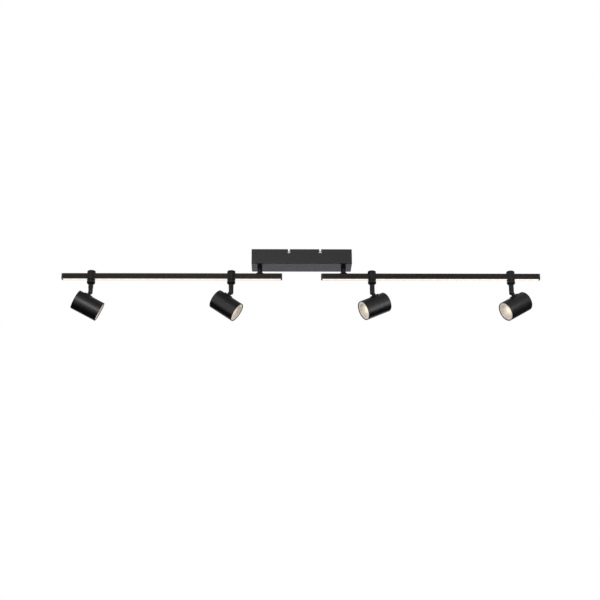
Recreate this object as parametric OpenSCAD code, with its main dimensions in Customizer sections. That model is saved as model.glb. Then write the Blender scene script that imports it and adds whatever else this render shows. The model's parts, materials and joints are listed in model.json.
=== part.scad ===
// Ceiling light bar: a box canopy carries two swivelling rails, each with a glowing
// underside and two spot heads that pan and tilt. The ceiling is the plane z = 0, the
// rails lie along X, and the origin is the middle of the ceiling screw pattern.

/* [Canopy] */
// Length of the canopy cover
canopy_l = 293; // [280:1:330]
// Depth of the canopy cover, front to back
canopy_w = 69; // [64:1:80]
// Height of the canopy cover
canopy_h = 45; // [44:1:60]
// Thickness of the cover's sheet steel
sheet = 1.2; // [1:0.1:1.5]
// Distance of the left keyhole notch from the middle
notch_left = -37.5; // [-45:0.5:-35]
// Distance of the right keyhole notch from the middle
notch_right = 54; // [50:0.5:60]
// Distance between the two ceiling screws
ceiling_screw_pitch = 200; // [180:5:210]

/* [Rails] */
// Distance of each rail's post from the middle of the canopy
post_x = 122.5; // [118:0.5:128]
// Diameter of the posts
post_d = 14.5; // [12:0.5:16]
// Distance from the ceiling to the top of the rails
rail_drop = 65.3; // [64:0.1:80]
// Distance from the middle to each rail's inner end
rail_inner = 57; // [40:1:80]
// Distance from the middle to each rail's outer end
rail_outer = 700; // [680:1:800]
// Width of the rail section
rail_w = 14.5; // [14:0.1:16]
// Height of the rail section
rail_h = 17; // [16:0.5:20]

/* [Hubs] */
// Distance from the middle to the inner hubs
hub_inner = 206; // [180:1:260]
// Distance from the middle to the outer hubs
hub_outer = 614; // [560:0.5:650]
// Diameter of the hubs
hub_d = 24.5; // [24:0.1:26]
// Diameter of the waist under the rail
waist_d = 21.5; // [20:0.1:22]

/* [Spots] */
// Diameter of the spot cans
can_d = 58; // [57:0.5:64]
// Length of the spot cans
can_l = 80; // [78:1:100]
// Distance from the back of a can to its knuckle
can_back = 27; // [25:0.5:28]
// Distance from the tilt pivot to the middle line of a can
can_drop = 42; // [42:0.5:46]
// Diameter of the stems
stem_d = 14.4; // [14:0.1:15]
// Distance from the ceiling to the tilt pivots
pivot_drop = 120.2; // [120:0.1:130]
// Heading of the first spot, from +X towards +Y
pan_1 = 11; // [-85:0.5:260]
// Heading of the second spot
pan_2 = -8; // [-85:0.5:260]
// Heading of the third spot
pan_3 = 198; // [-85:0.5:260]
// Heading of the fourth spot
pan_4 = 198.5; // [-85:0.5:260]
// Tilt of the first spot below level
tilt_1 = 26; // [0:0.5:90]
// Tilt of the second spot below level
tilt_2 = 35.5; // [0:0.5:90]
// Tilt of the third spot below level
tilt_3 = 26; // [0:0.5:90]
// Tilt of the fourth spot below level
tilt_4 = 31; // [0:0.5:90]

/* [Hidden] */
SIDES = ["left", "right"];
SPOTS = [1, 2, 3, 4];
CANOPY_NODES = ["canopy_cover", "ceiling_bracket", "cable_bush", "locking_screws",
    "terminal_block", "terminal_screws", "led_driver", "canopy_wires", "earth_lead",
    "post_bushes"];
ARM_NODES = ["post", "post_nut", "rail", "rail_end_caps", "diffusers", "led_strip",
    "rail_wires", "hub_caps", "hub_bodies", "hub_collars", "hub_screws"];
SPOT_NODES = ["stem", "hinge_pin", "knuckle", "can", "lamp_holder", "lamp", "lamp_lens"];

$fn = 64;
eps = 0.01;
// Play of a turning fit on the radius, and the gap between faces that only stand close
turn_play = 0.05;
gap = 0.1;

// Canopy
corner_r = 3;
floor_z = -canopy_h + sheet;
notch_w = 5;
notch_d = 8.6;
notch_z = -9.4;
bracket_l = 270;
bracket_w = 36;
bracket_h = 16;
bracket_t = 1.5;
strap_w = 12;
ceiling_slot_w = 5;
ceiling_slot_l = 16;
cable_bore_d = 10;
cable_hole_d = 20;
lock_head_d = 8.2;
lock_head_t = 3;
lock_thread_d = 4;
weld_nut_d = 8;
weld_nut_t = 3;
driver_l = 108;
driver_w = 30;
driver_h = 20;
driver_x = -44;
block_x = 60;
block_l = 22;
block_w = 30;
block_h = 15;
pole_pitch = 10;
pole_bore_d = 3.6;
pole_depth = 10;
pole_z = floor_z + 6;
wire_d = 1.6;

// Posts, which turn in nylon bushes in the canopy floor
post_neck_d = 10;
post_bore_d = 7;
post_flange_d = 22.5;
post_flange_t = 2;
bush_lip_d = 16;
bush_lip_t = 0.7;
floor_hole_d = 14;
post_shoulder_z = -canopy_h - bush_lip_t - gap;
washer_t = 1;
nut_af = 15;
nut_t = 5;
washer_z = floor_z + gap;
nut_z = washer_z + washer_t;
post_top_z = nut_z + nut_t + 3;

// Rails: a duct for the wires above a shelf, and the light channel under it
rail_top = -rail_drop;
rail_bottom = rail_top - rail_h;
rail_wall = 1.2;
shelf_z = rail_top - 9.2;
end_cap_t = 4;
end_tongue_l = 5;
diffuser_t = 1.6;
strip_w = 10;
strip_t = 1;
chip_pitch = 25;
wire_hole_d = 5.6;
lead_hole_x = post_x - 20;
diffuser_gap = 8;

// Hubs: a body with a tunnel for the rail, a cap above it and a bearing collar below
tunnel_play = 0.15;
cap_t = 4.2;
cap_z = rail_top + 8.7;
cap_round = 2.2;
body_top = cap_z - cap_t - gap;
waist_top = rail_bottom - 1.5;
waist_bottom = waist_top - 3;
collar_d = 24.4;
collar_h = 10.2;
collar_top = waist_bottom - gap;
collar_bottom = collar_top - collar_h;
collar_chamfer = 2;
spigot_d = 16;
spigot_t = 2;
neck_d = 8;
neck_flange_d = 11.4;
neck_flange_t = 1.6;
clamp_screw_d = 4;
clamp_head_d = 7.2;
clamp_head_t = 2;

// Stems and knuckles
stem_top = collar_bottom - 0.3;
stem_bore_d = 4.4;
fork_slot_w = 6.6;
fork_slot_top = -pivot_drop + 10.7;
pin_d = 4;
pin_head_d = 6.4;
pin_head_t = 1.1;
knuckle_t = 6;
knuckle_eye_d = 12;
knuckle_w = 10;
foot_l = 24;
foot_w = 14;
foot_t = 2.2;

// Cans and lamps, drawn along X with the knuckle at x = 0 and the can's middle line on X
can_front = can_l - can_back;
can_wall = 1.5;
can_back_t = 2;
can_chamfer = 2.5;
lamp_face = can_front - 1.6;
lamp_d = 50;
lamp_ring_d = can_d - 2 * can_wall - 0.4;
lamp_ring_t = 2.4;
lamp_l = 54;
lens_d = 46;
lens_t = 2.6;
lamp_base = lamp_face - lamp_l;
holder_l = 17;
holder_d = 24;
lamp_pin_pitch = 10;
lamp_pin_d = 3;
lamp_pin_l = 7;

function side_sign(side) = side == "left" ? -1 : 1;
function hub_xs(side) = [side_sign(side) * hub_inner, side_sign(side) * hub_outer];
function spot_x(i) = [-hub_outer, -hub_inner, hub_inner, hub_outer][i - 1];
function spot_pan(i) = [pan_1, pan_2, pan_3, pan_4][i - 1];
function spot_tilt(i) = [tilt_1, tilt_2, tilt_3, tilt_4][i - 1];

// Points of a rectangle with rounded corners
function round_rect(l, w, r, steps = 6) = [
    for (q = [0:3])
        let (cx = (q == 0 || q == 3 ? 1 : -1) * (l / 2 - r), cy = (q < 2 ? 1 : -1) * (w / 2 - r))
            for (s = [0:steps])
                let (a = q * 90 + s * 90 / steps) [cx + r * cos(a), cy + r * sin(a)]
];

// A smooth curve through hand-set points, and a round wire swept along it
function curve_at(p, i, t) =
    let (n = len(p) - 1, a = p[max(i - 1, 0)], b = p[i], c = p[i + 1], d = p[min(i + 2, n)])
        0.5 * (2 * b + (c - a) * t + (2 * a - 5 * b + 4 * c - d) * t * t
            + (3 * b - a - 3 * c + d) * t * t * t);
function curve(p, steps) = concat(
    [for (i = [0:len(p) - 2]) for (s = [0:steps - 1]) curve_at(p, i, s / steps)], [p[len(p) - 1]]);
function unit(v) = v / norm(v);
function square_to(u, t) = unit(u - (u * t) * t);
function side_vectors(t, i, u) = i == len(t) ? []
    : let (v = square_to(u, t[i])) concat([v], side_vectors(t, i + 1, v));

module wire(points, d, steps = 4) {
    sides = 8;
    p = curve(points, steps);
    n = len(p);
    t = [for (i = [0:n - 1]) unit(p[min(i + 1, n - 1)] - p[max(i - 1, 0)])];
    u = side_vectors(t, 0, [0.2, 1, 0.3]);
    rings = [for (i = [0:n - 1]) for (k = [0:sides - 1])
        let (a = k * 360 / sides) p[i] + d / 2 * (cos(a) * u[i] + sin(a) * cross(t[i], u[i]))];
    walls = [for (i = [0:n - 2]) for (k = [0:sides - 1])
        let (a = i * sides + k, b = i * sides + (k + 1) % sides) [a, a + sides, b + sides, b]];
    start = [[for (k = [0:sides - 1]) k]];
    end = [[for (k = [sides - 1:-1:0]) (n - 1) * sides + k]];
    polyhedron(rings, concat(start, walls, end), convexity = 6);
}

// A disc or ring standing on z
module ring(d, z_low, z_high, bore = 0) {
    translate([0, 0, z_low]) difference() {
        cylinder(d = d, h = z_high - z_low);
        if (bore > 0) translate([0, 0, -1]) cylinder(d = bore, h = z_high - z_low + 2);
    }
}

module box_between(low, high) {
    translate(low) cube(high - low);
}

// ---- Canopy ----

module keyhole(x) {
    translate([x - notch_w / 2, -canopy_w, notch_z]) cube([notch_w, 2 * canopy_w, -notch_z + 1]);
    translate([x, canopy_w, notch_z]) rotate([90, 0, 0]) cylinder(d = notch_d, h = 2 * canopy_w);
}

module canopy_cover() {
    color([0.1, 0.1, 0.11]) difference() {
        translate([0, 0, -canopy_h]) linear_extrude(canopy_h)
            polygon(round_rect(canopy_l, canopy_w, corner_r));
        translate([0, 0, floor_z]) linear_extrude(canopy_h)
            polygon(round_rect(canopy_l - 2 * sheet, canopy_w - 2 * sheet, corner_r - sheet));
        for (x = [notch_left, notch_right]) keyhole(x);
        for (s = [-1, 1]) translate([s * post_x, 0, -canopy_h - 1])
            cylinder(d = floor_hole_d, h = sheet + 2);
    }
}

module ceiling_slot() {
    for (s = [-1, 1]) translate([s * (ceiling_slot_l - ceiling_slot_w) / 2, 0, -bracket_t - 1])
        cylinder(d = ceiling_slot_w, h = bracket_t + 2);
    translate([-(ceiling_slot_l - ceiling_slot_w) / 2, -ceiling_slot_w / 2, -bracket_t - 1])
        cube([ceiling_slot_l - ceiling_slot_w, ceiling_slot_w, bracket_t + 2]);
}

// Runs a child at each of the four locking screws, pointing out of the canopy
module at_lock_screws() {
    for (x = [notch_left, notch_right]) for (s = [0, 180])
        translate([x, 0, notch_z]) rotate([90, 0, s]) children();
}

// A flat strip, with a cross strap spot-welded under it at each pair of locking screws
module ceiling_bracket() {
    edge = bracket_w / 2;
    color([0.72, 0.73, 0.75]) {
        difference() {
            box_between([-bracket_l / 2, -edge, -bracket_t], [bracket_l / 2, edge, 0]);
            for (s = [-1, 1]) translate([s * ceiling_screw_pitch / 2, 0, 0]) ceiling_slot();
            translate([0, 0, -bracket_t - 1]) cylinder(d = cable_hole_d, h = bracket_t + 2);
        }
        difference() {
            union() {
                for (x = [notch_left, notch_right]) cross_strap(x);
                at_lock_screws() translate([0, 0, edge - bracket_t - weld_nut_t])
                    cylinder(d = weld_nut_d, h = weld_nut_t + bracket_t / 2);
            }
            at_lock_screws() cylinder(d = lock_thread_d + 0.1, h = bracket_w);
        }
    }
}

// Its ends are bent down to hold the weld nuts
module cross_strap(x) {
    edge = bracket_w / 2;
    top = -bracket_t - gap;
    box_between([x - strap_w / 2, -edge, top - bracket_t], [x + strap_w / 2, edge, top]);
    for (y = [-edge, edge - bracket_t])
        box_between([x - strap_w / 2, y, -bracket_h], [x + strap_w / 2, y + bracket_t, top]);
}

module cable_bush() {
    color([0.12, 0.12, 0.12]) {
        difference() {
            union() {
                ring(cable_hole_d - 0.1, -bracket_t - 1, 0);
                ring(cable_hole_d + 5, -bracket_t - 2, -bracket_t - gap / 2);
            }
            translate([0, 0, -bracket_t - 3]) cylinder(d = cable_bore_d, h = bracket_t + 4);
        }
    }
}

// Each head nests in the round end of its keyhole, and its thread runs into a weld nut
module locking_screws() {
    out = canopy_w / 2 + 0.3;
    tail = bracket_w / 2 - bracket_t - weld_nut_t - 1;
    color([0.75, 0.76, 0.78]) at_lock_screws() difference() {
        union() {
            translate([0, 0, out - lock_head_t]) cylinder(d = lock_head_d, h = lock_head_t);
            translate([0, 0, tail]) cylinder(d = lock_thread_d, h = out - tail - 1);
        }
        translate([-lock_head_d, -0.6, out - 1.2]) cube([2 * lock_head_d, 1.2, 2]);
    }
}

module at_poles() {
    for (k = [-1, 0, 1]) translate([block_x, k * pole_pitch, 0]) children();
}

// Runs a child over each of the six clamp screws of the terminal block
module at_pole_screws() {
    at_poles() for (s = [-1, 1]) translate([s * block_l / 4, 0, 0]) children();
}

module terminal_block() {
    color([0.88, 0.88, 0.85]) difference() {
        union() {
            at_poles() translate([-block_l / 2, -4.2, floor_z]) cube([block_l, 8.4, block_h]);
            translate([block_x - 4, -block_w / 2, floor_z]) cube([8, block_w, block_h - 6]);
        }
        at_poles() for (s = [-1, 1]) translate([s * (block_l / 2 + 1), 0, pole_z])
            rotate([0, -90 * s, 0]) cylinder(d = pole_bore_d, h = pole_depth + 1);
        at_pole_screws() translate([0, 0, pole_z + 2.5]) cylinder(d = 4.2, h = block_h);
    }
}

module terminal_screws() {
    low = pole_z + 2.6;
    top = floor_z + block_h - 1.5;
    color([0.8, 0.68, 0.35]) at_pole_screws() difference() {
        translate([0, 0, low]) cylinder(d = 4, h = top - low);
        translate([-3, -0.4, top - 1]) cube([6, 0.8, 2]);
    }
}

module led_driver() {
    low = floor_z;
    color([0.9, 0.9, 0.88]) {
        difference() {
            union() {
                translate([driver_x, 0, low]) linear_extrude(driver_h - 3)
                    polygon(round_rect(driver_l, driver_w, 2));
                translate([driver_x, 0, low]) linear_extrude(driver_h)
                    polygon(round_rect(driver_l - 24, driver_w - 3, 1.5));
            }
            for (s = [-1, 1]) translate([driver_x + s * (driver_l / 2 - 4), 0, low - 1])
                cylinder(d = 4, h = driver_h + 2);
        }
    }
}

// Four leads drop into the mouth of each post, the two that land beyond its middle on top
module post_leads(side, from_x, from_z, high_z) {
    s = side_sign(side);
    x = s * post_x;
    for (y = [-1, 1]) for (lane = [-1, 1]) {
        y_out = y * (5 + 1.5 * lane);
        rise = s * lane;
        wire([[from_x, y_out, from_z], [from_x + s * 2, y_out, from_z],
            [from_x + s * 6, y_out, from_z + 1.5 + rise], [(from_x + x) / 2 - s * 2, y_out, high_z + rise],
            [x - s * 7, y * (3.4 + 0.8 * lane), high_z - 0.8 + rise],
            [x + lane * 1.4 - s * 0.8, y * 1.6, high_z - 4 + rise],
            [x + lane * 1.3, y * 1.3, post_top_z + 1.5]], wire_d);
    }
}

// The block feeds the driver, and the driver feeds both posts
module canopy_wires() {
    out_x = block_x + block_l / 2;
    driver_end = driver_l / 2 + gap;
    color([0.85, 0.85, 0.83]) {
        for (s = [-1, 1])
            wire([[out_x - 6, s * pole_pitch, pole_z], [out_x + 1, s * pole_pitch, pole_z],
                [out_x + 7, s * 13.5, pole_z], [out_x + 1, s * 17.4, -39], [block_x - 5, s * 17.8, -40],
                [34, s * 17.4, -40], [24, s * 14.4, -38.8], [17, s * 9.4, -37.3],
                [12.5, s * 8, -37], [driver_x + driver_end, s * 8, -37]], wire_d);
        post_leads("right", driver_x + driver_end, -31, -23.5);
        post_leads("left", driver_x - driver_end, -31, -25);
    }
}

module earth_lead() {
    stud_x = block_x + 31;
    color([0.35, 0.6, 0.2]) {
        wire([[block_x + 6, 0, pole_z], [block_x + 14, 0, pole_z], [block_x + 24, 4, -38],
            [stud_x - 1, 15, -40.5], [stud_x, 21, -41.6], [stud_x, 23.5, -41.8]], wire_d);
        translate([stud_x, 25, 0]) ring(7, floor_z, floor_z + 2.6);
    }
}

module post_bushes() {
    color([0.08, 0.08, 0.08]) for (s = [-1, 1]) translate([s * post_x, 0, 0]) difference() {
        union() {
            ring(floor_hole_d - 0.1, -canopy_h - bush_lip_t / 2, floor_z);
            ring(bush_lip_d, -canopy_h - bush_lip_t, -canopy_h);
        }
        translate([0, 0, -canopy_h - 2]) cylinder(d = post_neck_d + 2 * turn_play, h = 6);
    }
}

// ---- Arms: post, rail and hubs ----

module post(side) {
    color([0.06, 0.06, 0.06]) translate([side_sign(side) * post_x, 0, 0]) difference() {
        union() {
            ring(post_flange_d, rail_top, rail_top + post_flange_t);
            ring(post_d, rail_top, post_shoulder_z);
            ring(post_neck_d, rail_top, post_top_z);
        }
        translate([0, 0, rail_top - 1]) cylinder(d = post_bore_d, h = 60);
    }
}

module post_nut(side) {
    bore = post_neck_d + 2 * turn_play;
    color([0.74, 0.75, 0.77]) translate([side_sign(side) * post_x, 0, 0]) {
        ring(20, washer_z, washer_z + washer_t - eps, bore);
        difference() {
            translate([0, 0, nut_z]) cylinder(d = nut_af / cos(30), h = nut_t, $fn = 6);
            translate([0, 0, nut_z - 1]) cylinder(d = bore, h = nut_t + 2);
        }
    }
}

module rail(side) {
    inner = rail_w - 2 * rail_wall;
    s = side_sign(side);
    x_low = min(s * (rail_inner + end_cap_t), s * (rail_outer - end_cap_t));
    x_high = x_low + rail_outer - rail_inner - 2 * end_cap_t;
    color([0.09, 0.09, 0.1]) difference() {
        box_between([x_low, -rail_w / 2, rail_bottom], [x_high, rail_w / 2, rail_top]);
        box_between([x_low - 1, -inner / 2, shelf_z], [x_high + 1, inner / 2, rail_top - rail_wall]);
        box_between([x_low - 1, -inner / 2, rail_bottom - 1], [x_high + 1, inner / 2, shelf_z - rail_wall]);
        translate([s * post_x, 0, rail_top - 3]) cylinder(d = post_bore_d + 1, h = 5);
        for (x = concat(hub_xs(side), [s * lead_hole_x])) translate([x, 0, shelf_z - 3])
            cylinder(d = wire_hole_d, h = 5);
    }
}

module rail_end_caps(side) {
    s = side_sign(side);
    inner = rail_w - 2 * rail_wall - 0.2;
    color([0.07, 0.07, 0.07]) for (e = [[rail_inner, 1], [rail_outer, -1]]) {
        x_out = s * e[0];
        dir = s * e[1];
        plate = [x_out, x_out + dir * end_cap_t];
        tongue = [x_out + dir * (end_cap_t - 1), x_out + dir * (end_cap_t + end_tongue_l)];
        union() {
            box_between([min(plate), -rail_w / 2, rail_bottom], [max(plate), rail_w / 2, rail_top]);
            box_between([min(tongue), -inner / 2, shelf_z + 0.1],
                [max(tongue), inner / 2, rail_top - rail_wall - 0.1]);
        }
    }
}

// The stretches of light channel between the end caps and the hubs
function channel_runs(gap_x) = [
    [rail_inner + end_cap_t + 0.3, hub_inner - gap_x],
    [hub_inner + gap_x, hub_outer - gap_x],
    [hub_outer + gap_x, rail_outer - end_cap_t - 0.3]
];

module run_box(side, run, low_y, high_y, low_z, high_z) {
    s = side_sign(side);
    xs = [s * run[0], s * run[1]];
    box_between([min(xs), low_y, low_z], [max(xs), high_y, high_z]);
}

module diffusers(side) {
    half = rail_w / 2 - rail_wall - 0.1;
    color([1, 0.96, 0.88]) for (run = channel_runs(diffuser_gap)) union() {
        run_box(side, run, -half, half, rail_bottom, rail_bottom + diffuser_t);
        for (y = [-half, half - 1]) run_box(side, run, y, y + 1, rail_bottom, rail_bottom + 4);
    }
}

module led_strip(side) {
    top = shelf_z - rail_wall - 0.05;
    s = side_sign(side);
    color([0.95, 0.95, 0.92]) for (run = channel_runs(diffuser_gap + 2)) union() {
        run_box(side, run, -strip_w / 2, strip_w / 2, top - strip_t, top);
        count = floor((run[1] - run[0]) / chip_pitch);
        first = (run[0] + run[1] - (count - 1) * chip_pitch) / 2;
        for (k = [0:count - 1]) translate([s * (first + k * chip_pitch), 0, top - strip_t - 0.6])
            translate([-2.5, -1.5, 0]) cube([5, 3, 0.7]);
    }
}

// Leads in the duct: a mains pair to the inner hub, one on from there to the outer hub, both
// turning down towards the stems, and a pair that drops through the shelf to the light strip
module rail_wires(side) {
    s = side_sign(side);
    duct_z = shelf_z + 1.8;
    high_z = shelf_z + 4.4;
    down_z = rail_bottom + 0.5;
    post_in = post_top_z - 1;
    module lead(points) {
        for (y = [-1, 1]) wire([for (p = points) [s * p[0], y * p[1], p[2]]], wire_d);
    }
    color([0.85, 0.85, 0.83]) {
        lead([[post_x + 1.3, 1.3, post_in], [post_x + 1.3, 1.3, rail_top + 4],
            [post_x + 1.8, 1.5, rail_top - 0.5], [post_x + 7, 3.4, high_z - 0.6],
            [post_x + 16, 4.4, duct_z + 1], [post_x + 28, 4.4, duct_z],
            [hub_inner - 22, 4.4, duct_z], [hub_inner - 12, 3.6, duct_z],
            [hub_inner - 5, 2, duct_z - 0.1], [hub_inner - 1.6, 1.3, duct_z - 1.8],
            [hub_inner - 1.2, 1.1, shelf_z - 4], [hub_inner - 1.2, 1.1, down_z]]);
        lead([[hub_inner + 1.2, 1.1, down_z], [hub_inner + 1.2, 1.1, shelf_z - 4],
            [hub_inner + 1.6, 1.3, duct_z - 1.8], [hub_inner + 5, 2, duct_z - 0.1],
            [hub_inner + 12, 3.6, duct_z], [hub_inner + 24, 4.4, duct_z],
            [hub_inner + 60, 4.4, duct_z], [hub_outer - 60, 4.4, duct_z],
            [hub_outer - 24, 4.4, duct_z], [hub_outer - 10, 3, duct_z],
            [hub_outer - 4, 1.8, duct_z - 0.1], [hub_outer - 0.6, 1.2, duct_z - 2],
            [hub_outer, 1.1, shelf_z - 4], [hub_outer, 1.1, down_z]]);
        lead([[post_x - 1.3, 1.3, post_in], [post_x - 1.3, 1.3, rail_top + 4],
            [post_x - 1.6, 1.4, rail_top - 0.5], [post_x - 5.5, 1.5, high_z - 1.4],
            [lead_hole_x + 6, 1.4, duct_z + 0.6], [lead_hole_x + 1.6, 1.2, duct_z - 0.6],
            [lead_hole_x, 1.1, shelf_z - 0.9]]);
    }
}

module hub_caps(side) {
    color([0.06, 0.06, 0.06]) for (x = hub_xs(side)) translate([x, 0, 0]) difference() {
        rotate_extrude() difference() {
            translate([0, cap_z - cap_t]) square([hub_d / 2, cap_t]);
            translate([hub_d / 2 - cap_round, cap_z - cap_round]) difference() {
                square([cap_round + 1, cap_round + 1]);
                circle(r = cap_round);
            }
        }
        translate([0, 0, cap_z - cap_t - 1]) cylinder(d = clamp_screw_d + 0.2, h = cap_t + 2);
        translate([0, 0, cap_z - clamp_head_t - 0.2]) cylinder(d = clamp_head_d + 0.3, h = 5);
    }
}

module hub_bodies(side) {
    half = rail_w / 2 + tunnel_play;
    color([0.06, 0.06, 0.06]) for (x = hub_xs(side)) translate([x, 0, 0]) difference() {
        union() {
            ring(hub_d, waist_top, body_top);
            ring(waist_d, waist_bottom, waist_top + 1);
        }
        box_between([-hub_d, -half, rail_bottom - tunnel_play], [hub_d, half, rail_top + tunnel_play]);
        translate([0, 0, waist_bottom - 1]) cylinder(d = spigot_d + 0.1, h = spigot_t + 1 + gap);
        translate([0, 0, waist_bottom]) cylinder(d = neck_flange_d + 1, h = 8);
        translate([0, 0, rail_top]) cylinder(d = clamp_screw_d + 0.2, h = 12);
    }
}

module hub_collars(side) {
    c = collar_chamfer;
    r = collar_d / 2;
    color([0.06, 0.06, 0.06]) for (x = hub_xs(side)) translate([x, 0, 0]) difference() {
        rotate_extrude() polygon([[0, collar_bottom], [r - c, collar_bottom], [r, collar_bottom + c],
            [r, collar_top - 1], [r - 1, collar_top], [spigot_d / 2, collar_top],
            [spigot_d / 2, collar_top + spigot_t], [0, collar_top + spigot_t]]);
        translate([0, 0, collar_bottom - 1]) cylinder(d = neck_d + 2 * turn_play, h = collar_h + 5);
    }
}

module hub_screws(side) {
    top = cap_z - 0.2;
    color([0.3, 0.3, 0.31]) for (x = hub_xs(side)) translate([x, 0, 0]) difference() {
        union() {
            translate([0, 0, top - clamp_head_t]) cylinder(d = clamp_head_d, h = clamp_head_t);
            translate([0, 0, rail_top + 0.1]) cylinder(d = clamp_screw_d, h = top - rail_top - 1);
        }
        translate([0, 0, top - 1.3]) cylinder(d = 3.4, h = 2, $fn = 6);
    }
}

// ---- Spots ----

// Moves a child from the pivot's own frame, facing +X, to spot i at its heading
module panned(i) {
    translate([spot_x(i), 0, -pivot_drop]) rotate([0, 0, spot_pan(i)]) children();
}

// Moves a child from the can's frame to spot i at its heading and tilt
module aimed(i) {
    panned(i) rotate([0, spot_tilt(i), 0]) translate([0, 0, -can_drop]) children();
}

module stem(i) {
    top = stem_top + pivot_drop;
    flange_z = collar_top + spigot_t + gap + pivot_drop;
    color([0.06, 0.06, 0.06]) panned(i) difference() {
        union() {
            intersection() {
                translate([0, 0, -stem_d]) cylinder(d = stem_d, h = stem_d + top);
                union() {
                    translate([0, -stem_d, 0]) rotate([-90, 0, 0]) cylinder(d = stem_d - 0.02, h = 2 * stem_d);
                    box_between([-stem_d, -stem_d, 0], [stem_d, stem_d, top]);
                }
            }
            translate([0, 0, top - 1]) cylinder(d = neck_d, h = flange_z - top + 1.5);
            translate([0, 0, flange_z]) cylinder(d = neck_flange_d, h = neck_flange_t);
        }
        box_between([-stem_d, -fork_slot_w / 2, -stem_d], [stem_d, fork_slot_w / 2, fork_slot_top + pivot_drop]);
        cylinder(d = stem_bore_d, h = 60);
        translate([0, -stem_d, 0]) rotate([-90, 0, 0]) cylinder(d = pin_d + 2 * turn_play, h = 2 * stem_d);
        for (s = [-1, 1]) translate([0, s * (stem_d / 2 - 1.3), 0]) rotate([-90 * s, 0, 0])
            cylinder(d = pin_head_d + 0.4, h = 4);
    }
}

module hinge_pin(i) {
    half = stem_d / 2 - 1.2;
    color([0.2, 0.2, 0.2]) panned(i) difference() {
        union() {
            translate([0, -half, 0]) rotate([-90, 0, 0]) cylinder(d = pin_d, h = 2 * half);
            for (s = [-1, 1]) translate([0, s * half, 0]) rotate([-90 * s, 0, 0])
                cylinder(d = pin_head_d, h = pin_head_t);
        }
        translate([0, half + pin_head_t, 0]) rotate([90, 0, 0]) cylinder(d = 2.9, h = 2, $fn = 6);
    }
}

module knuckle(i) {
    r = can_d / 2;
    color([0.06, 0.06, 0.06]) aimed(i) difference() {
        union() {
            translate([0, -knuckle_t / 2, can_drop]) rotate([-90, 0, 0])
                cylinder(d = knuckle_eye_d, h = knuckle_t);
            box_between([-knuckle_w / 2, -knuckle_t / 2, r - 2], [knuckle_w / 2, knuckle_t / 2, can_drop]);
            intersection() {
                translate([-foot_l / 2, 0, 0]) rotate([0, 90, 0]) cylinder(r = r + foot_t, h = foot_l);
                box_between([-foot_l / 2, -foot_w / 2, r - 3], [foot_l / 2, foot_w / 2, r + foot_t + 1]);
            }
        }
        translate([-can_l, 0, 0]) rotate([0, 90, 0]) cylinder(r = r + 0.05, h = 2 * can_l);
        translate([0, -knuckle_t, can_drop]) rotate([-90, 0, 0])
            cylinder(d = pin_d + 2 * turn_play, h = 2 * knuckle_t);
    }
}

// Turns an outline of [x along the can, radius] points about the can's middle line
module turned(points) {
    rotate([0, 90, 0]) rotate_extrude() polygon([for (p = points) [p[1], p[0]]]);
}

module can(i) {
    r = can_d / 2;
    color([0.07, 0.07, 0.075]) aimed(i) turned([
        [-can_back, 0], [-can_back, r - can_chamfer], [-can_back + can_chamfer, r],
        [can_front - 0.5, r], [can_front, r - 0.5], [can_front, r - can_wall + 0.3],
        [can_front - 0.3, r - can_wall], [-can_back + can_back_t, r - can_wall],
        [-can_back + can_back_t, 0]]);
}

module lamp_holder(i) {
    back = -can_back + can_back_t;
    high = lamp_base - 0.3;
    low = high - holder_l;
    color([0.9, 0.88, 0.84]) aimed(i) {
        difference() {
            translate([low, 0, 0]) rotate([0, 90, 0]) cylinder(d = holder_d, h = holder_l);
            for (s = [-1, 1]) translate([high - lamp_pin_l - 1, s * lamp_pin_pitch / 2, 0])
                rotate([0, 90, 0]) cylinder(d = 5.4, h = lamp_pin_l + 2);
        }
        for (s = [-1, 1]) box_between([back + 0.05, s * 8 - 2, -2], [low - 0.05, s * 8 + 2, 2]);
    }
}

// A silver ring around the lamp's face closes the gap to the can
module lamp(i) {
    face = lamp_face;
    color([0.75, 0.75, 0.76]) aimed(i) difference() {
        union() {
            turned([[lamp_base, 0], [lamp_base, 10.5], [lamp_base + 14, 11.5], [lamp_base + 18, 14],
                [face - 12, 23.4], [face - 9, lamp_d / 2], [face - lamp_ring_t, lamp_d / 2],
                [face - lamp_ring_t, lamp_ring_d / 2], [face, lamp_ring_d / 2], [face, lens_d / 2 + 0.1],
                [face - lens_t - 1, lens_d / 2 + 0.1], [face - 24, 12], [face - 24, 0]]);
            for (s = [-1, 1]) translate([lamp_base - lamp_pin_l, s * lamp_pin_pitch / 2, 0])
                rotate([0, 90, 0]) {
                    cylinder(d = lamp_pin_d, h = lamp_pin_l + 1);
                    cylinder(d = 4.8, h = 2.4);
                }
        }
    }
}

module lamp_lens(i) {
    high = lamp_face - 0.8;
    color([1, 0.93, 0.75, 0.9]) aimed(i) turned([[high - lens_t, 0], [high - lens_t, lens_d / 2],
        [high - 0.6, lens_d / 2], [high, lens_d / 2 - 0.8], [high, 0]]);
}

// ---- Assembly ----

canopy_cover();
ceiling_bracket();
cable_bush();
locking_screws();
terminal_block();
terminal_screws();
led_driver();
canopy_wires();
earth_lead();
post_bushes();
for (side = SIDES) {
    post(side);
    post_nut(side);
    rail(side);
    rail_end_caps(side);
    diffusers(side);
    led_strip(side);
    rail_wires(side);
    hub_caps(side);
    hub_bodies(side);
    hub_collars(side);
    hub_screws(side);
}
for (i = SPOTS) {
    stem(i);
    hinge_pin(i);
    knuckle(i);
    can(i);
    lamp_holder(i);
    lamp(i);
    lamp_lens(i);
}
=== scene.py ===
"""Looks of the ceiling light bar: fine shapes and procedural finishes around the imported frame."""

import json
import math

import bmesh
import bpy
from mathutils import Matrix, Vector


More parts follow.
